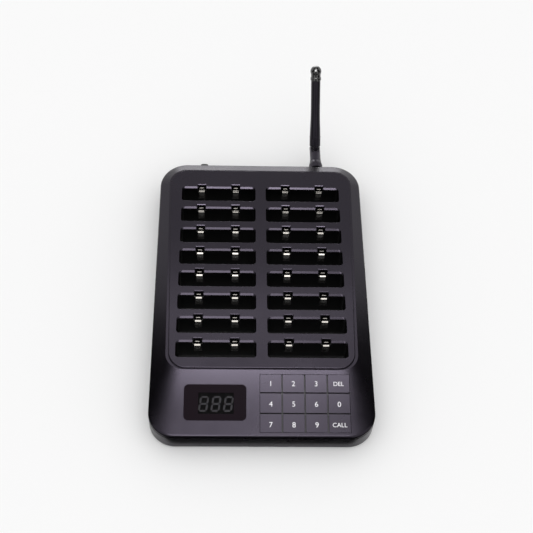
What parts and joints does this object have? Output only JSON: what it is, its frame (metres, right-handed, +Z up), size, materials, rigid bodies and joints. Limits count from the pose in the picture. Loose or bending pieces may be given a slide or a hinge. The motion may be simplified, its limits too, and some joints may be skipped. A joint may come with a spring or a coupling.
{
  "type": "wireless pager charging base",
  "caption": "Countertop wireless pager base: rows of charging pockets with spring contacts, sloping keypad and digit display, power button and folding rod antenna.",
  "frame": {"origin": "on the table surface, under the middle of the case's outline (the antenna is not counted)", "axes": "+X to the keypad side (right, seen from the front), +Y to the rear wall with the antenna, +Z up"},
  "size_m": [0.199, 0.3737, 0.0961],
  "materials": {
    "case_plastic": "fine spark texture, charcoal",
    "tray_plastic": "fine texture, black",
    "key_plastic": "fine texture, charcoal",
    "inner_plastic": "plain black",
    "switch_body": "plain black",
    "button_plastic": "satin black",
    "smoked_window": "smoked acrylic with a printed border",
    "display_body": "black",
    "segment_plastic": "milky grey, unlit",
    "contact_metal": "bright nickel plate",
    "plated_metal": "nickel plate",
    "screw_steel": "zinc plate",
    "circuit_board": "green solder mask",
    "tinned_can": "tin plate",
    "antenna_plastic": "satin black",
    "antenna_sleeve": "satin black elastomer",
    "lead_jacket": "black jacket",
    "ribbon_cable": "grey",
    "foot_rubber": "matt"
  },
  "bodies": {
    "housing": {"top_cover": "case_plastic", "bottom_case": "case_plastic", "pocket_tray_left": "tray_plastic", "pocket_tray_right": "tray_plastic", "contact_holders": "inner_plastic", "key_frame": "inner_plastic", "key_switches": "switch_body", "front_board": "circuit_board", "board_screws": "screw_steel", "display_window": "smoked_window", "digit_display": "display_body", "digit_segments": "segment_plastic", "power_switch": "switch_body", "dc_jack": "switch_body", "antenna_connector": "plated_metal", "connector_nut": "plated_metal", "antenna_nut": "antenna_plastic", "main_board": "circuit_board", "main_board_screws": "screw_steel", "charge_boards": "circuit_board", "radio_module": "tinned_can", "antenna_lead": "lead_jacket", "panel_ribbon": "ribbon_cable", "case_screws": "screw_steel", "rubber_feet": "foot_rubber"},
    "antenna_base": {"antenna_base": "antenna_plastic", "pivot_pin": "plated_metal"},
    "antenna_whip": {"antenna_whip": "antenna_sleeve", "antenna_cap": "antenna_sleeve"},
    "power_button": {"power_button": "button_plastic"},
    "key_1": {"key_1": "key_plastic"},
    "key_2": {"key_2": "key_plastic"},
    "key_3": {"key_3": "key_plastic"},
    "key_del": {"key_del": "key_plastic"},
    "key_4": {"key_4": "key_plastic"},
    "key_5": {"key_5": "key_plastic"},
    "key_6": {"key_6": "key_plastic"},
    "key_0": {"key_0": "key_plastic"},
    "key_7": {"key_7": "key_plastic"},
    "key_8": {"key_8": "key_plastic"},
    "key_9": {"key_9": "key_plastic"},
    "key_call": {"key_call": "key_plastic"},
    "contacts_01": {"contacts_01": "contact_metal"},
    "contacts_02": {"contacts_02": "contact_metal"},
    "contacts_03": {"contacts_03": "contact_metal"},
    "contacts_04": {"contacts_04": "contact_metal"},
    "contacts_05": {"contacts_05": "contact_metal"},
    "contacts_06": {"contacts_06": "contact_metal"},
    "contacts_07": {"contacts_07": "contact_metal"},
    "contacts_08": {"contacts_08": "contact_metal"},
    "contacts_09": {"contacts_09": "contact_metal"},
    "contacts_10": {"contacts_10": "contact_metal"},
    "contacts_11": {"contacts_11": "contact_metal"},
    "contacts_12": {"contacts_12": "contact_metal"},
    "contacts_13": {"contacts_13": "contact_metal"},
    "contacts_14": {"contacts_14": "contact_metal"},
    "contacts_15": {"contacts_15": "contact_metal"},
    "contacts_16": {"contacts_16": "contact_metal"}
  },
  "joints": [
    {"name": "antenna_swivel", "type": "hinge", "parent": "housing", "child": "antenna_base", "pos_m": [0.0571, 0.1749, 0.0216], "axis": [0, 1, 0], "range_deg": [-90, 90]},
    {"name": "antenna_fold", "type": "hinge", "parent": "antenna_base", "child": "antenna_whip", "pos_m": [0.0571, 0.1749, 0.0216], "axis": [0.9995, 0, 0.0332], "range_deg": [-57, 33]},
    {"name": "power_press", "type": "slide", "parent": "housing", "child": "power_button", "axis": [0, -1, 0], "range_m": [0, 0.002], "stiffness_N_per_m": 500, "springref_m": -0.001},
    {"name": "key_1_press", "type": "slide", "parent": "housing", "child": "key_1", "axis": [0, 0.1734, -0.9848], "range_m": [0, 0.0008], "stiffness_N_per_m": 800, "springref_m": -0.0005},
    {"name": "key_2_press", "type": "slide", "parent": "housing", "child": "key_2", "axis": [0, 0.1734, -0.9848], "range_m": [0, 0.0008], "stiffness_N_per_m": 800, "springref_m": -0.0005},
    {"name": "key_3_press", "type": "slide", "parent": "housing", "child": "key_3", "axis": [0, 0.1734, -0.9848], "range_m": [0, 0.0008], "stiffness_N_per_m": 800, "springref_m": -0.0005},
    {"name": "key_del_press", "type": "slide", "parent": "housing", "child": "key_del", "axis": [0, 0.1734, -0.9848], "range_m": [0, 0.0008], "stiffness_N_per_m": 800, "springref_m": -0.0005},
    {"name": "key_4_press", "type": "slide", "parent": "housing", "child": "key_4", "axis": [0, 0.1734, -0.9848], "range_m": [0, 0.0008], "stiffness_N_per_m": 800, "springref_m": -0.0005},
    {"name": "key_5_press", "type": "slide", "parent": "housing", "child": "key_5", "axis": [0, 0.1734, -0.9848], "range_m": [0, 0.0008], "stiffness_N_per_m": 800, "springref_m": -0.0005},
    {"name": "key_6_press", "type": "slide", "parent": "housing", "child": "key_6", "axis": [0, 0.1734, -0.9848], "range_m": [0, 0.0008], "stiffness_N_per_m": 800, "springref_m": -0.0005},
    {"name": "key_0_press", "type": "slide", "parent": "housing", "child": "key_0", "axis": [0, 0.1734, -0.9848], "range_m": [0, 0.0008], "stiffness_N_per_m": 800, "springref_m": -0.0005},
    {"name": "key_7_press", "type": "slide", "parent": "housing", "child": "key_7", "axis": [0, 0.1734, -0.9848], "range_m": [0, 0.0008], "stiffness_N_per_m": 800, "springref_m": -0.0005},
    {"name": "key_8_press", "type": "slide", "parent": "housing", "child": "key_8", "axis": [0, 0.1734, -0.9848], "range_m": [0, 0.0008], "stiffness_N_per_m": 800, "springref_m": -0.0005},
    {"name": "key_9_press", "type": "slide", "parent": "housing", "child": "key_9", "axis": [0, 0.1734, -0.9848], "range_m": [0, 0.0008], "stiffness_N_per_m": 800, "springref_m": -0.0005},
    {"name": "key_call_press", "type": "slide", "parent": "housing", "child": "key_call", "axis": [0, 0.1734, -0.9848], "range_m": [0, 0.0008], "stiffness_N_per_m": 800, "springref_m": -0.0005},
    {"name": "contacts_01_flex", "type": "hinge", "parent": "housing", "child": "contacts_01", "pos_m": [0, 0.1158, 0.0135], "axis": [-1, 0, 0], "range_deg": [0, 4], "stiffness_Nm_per_rad": 0.34, "springref_deg": -0.57},
    {"name": "contacts_02_flex", "type": "hinge", "parent": "housing", "child": "contacts_02", "pos_m": [0, 0.0908, 0.0135], "axis": [-1, 0, 0], "range_deg": [0, 4], "stiffness_Nm_per_rad": 0.34, "springref_deg": -0.57},
    {"name": "contacts_03_flex", "type": "hinge", "parent": "housing", "child": "contacts_03", "pos_m": [0, 0.0658, 0.0135], "axis": [-1, 0, 0], "range_deg": [0, 4], "stiffness_Nm_per_rad": 0.34, "springref_deg": -0.57},
    {"name": "contacts_04_flex", "type": "hinge", "parent": "housing", "child": "contacts_04", "pos_m": [0, 0.0408, 0.0135], "axis": [-1, 0, 0], "range_deg": [0, 4], "stiffness_Nm_per_rad": 0.34, "springref_deg": -0.57},
    {"name": "contacts_05_flex", "type": "hinge", "parent": "housing", "child": "contacts_05", "pos_m": [0, 0.0158, 0.0135], "axis": [-1, 0, 0], "range_deg": [0, 4], "stiffness_Nm_per_rad": 0.34, "springref_deg": -0.57},
    {"name": "contacts_06_flex", "type": "hinge", "parent": "housing", "child": "contacts_06", "pos_m": [0, -0.0092, 0.0135], "axis": [-1, 0, 0], "range_deg": [0, 4], "stiffness_Nm_per_rad": 0.34, "springref_deg": -0.57},
    {"name": "contacts_07_flex", "type": "hinge", "parent": "housing", "child": "contacts_07", "pos_m": [0, -0.0342, 0.0135], "axis": [-1, 0, 0], "range_deg": [0, 4], "stiffness_Nm_per_rad": 0.34, "springref_deg": -0.57},
    {"name": "contacts_08_flex", "type": "hinge", "parent": "housing", "child": "contacts_08", "pos_m": [0, -0.0592, 0.0135], "axis": [-1, 0, 0], "range_deg": [0, 4], "stiffness_Nm_per_rad": 0.34, "springref_deg": -0.57},
    {"name": "contacts_09_flex", "type": "hinge", "parent": "housing", "child": "contacts_09", "pos_m": [0, 0.1158, 0.0135], "axis": [-1, 0, 0], "range_deg": [0, 4], "stiffness_Nm_per_rad": 0.34, "springref_deg": -0.57},
    {"name": "contacts_10_flex", "type": "hinge", "parent": "housing", "child": "contacts_10", "pos_m": [0, 0.0908, 0.0135], "axis": [-1, 0, 0], "range_deg": [0, 4], "stiffness_Nm_per_rad": 0.34, "springref_deg": -0.57},
    {"name": "contacts_11_flex", "type": "hinge", "parent": "housing", "child": "contacts_11", "pos_m": [0, 0.0658, 0.0135], "axis": [-1, 0, 0], "range_deg": [0, 4], "stiffness_Nm_per_rad": 0.34, "springref_deg": -0.57},
    {"name": "contacts_12_flex", "type": "hinge", "parent": "housing", "child": "contacts_12", "pos_m": [0, 0.0408, 0.0135], "axis": [-1, 0, 0], "range_deg": [0, 4], "stiffness_Nm_per_rad": 0.34, "springref_deg": -0.57},
    {"name": "contacts_13_flex", "type": "hinge", "parent": "housing", "child": "contacts_13", "pos_m": [0, 0.0158, 0.0135], "axis": [-1, 0, 0], "range_deg": [0, 4], "stiffness_Nm_per_rad": 0.34, "springref_deg": -0.57},
    {"name": "contacts_14_flex", "type": "hinge", "parent": "housing", "child": "contacts_14", "pos_m": [0, -0.0092, 0.0135], "axis": [-1, 0, 0], "range_deg": [0, 4], "stiffness_Nm_per_rad": 0.34, "springref_deg": -0.57},
    {"name": "contacts_15_flex", "type": "hinge", "parent": "housing", "child": "contacts_15", "pos_m": [0, -0.0342, 0.0135], "axis": [-1, 0, 0], "range_deg": [0, 4], "stiffness_Nm_per_rad": 0.34, "springref_deg": -0.57},
    {"name": "contacts_16_flex", "type": "hinge", "parent": "housing", "child": "contacts_16", "pos_m": [0, -0.0592, 0.0135], "axis": [-1, 0, 0], "range_deg": [0, 4], "stiffness_Nm_per_rad": 0.34, "springref_deg": -0.57}
  ]
}
